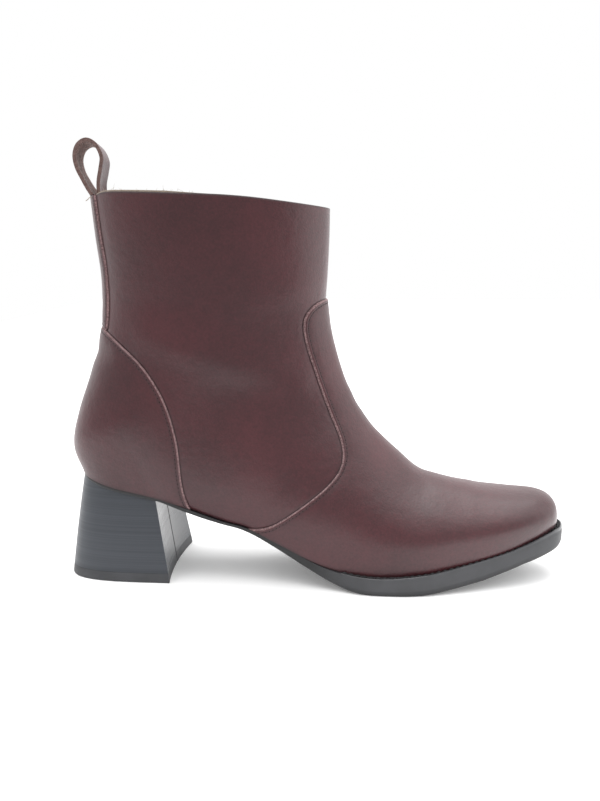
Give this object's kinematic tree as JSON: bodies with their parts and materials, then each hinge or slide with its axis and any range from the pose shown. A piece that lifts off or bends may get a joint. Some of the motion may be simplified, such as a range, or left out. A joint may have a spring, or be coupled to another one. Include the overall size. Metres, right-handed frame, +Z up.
{
  "type": "ankle boot",
  "caption": "Pull-on leather ankle boot with a lapped vamp, heel counter, back pull loop, stitched welt, arched sole and flared block heel.",
  "frame": {"origin": "on the floor, under the middle of the heel's tread", "axes": "+X towards the toe, +Y towards the medial side, +Z up"},
  "size_m": [0.2539, 0.0801, 0.2191],
  "materials": {
    "leather": "smooth burgundy, soft sheen",
    "strap_leather": "smooth burgundy, brown flesh side",
    "insole_leather": "pale, matt",
    "sole_rubber": "black, satin",
    "heel_stack": "black stacked grain, satin"
  },
  "bodies": {
    "root": {"upper": "leather", "vamp": "leather", "counter": "leather", "back_strip": "strap_leather", "pull_loop": "strap_leather", "insole": "insole_leather", "welt": "sole_rubber", "outsole": "sole_rubber", "heel": "heel_stack", "top_lift": "sole_rubber"}
  },
  "joints": []
}
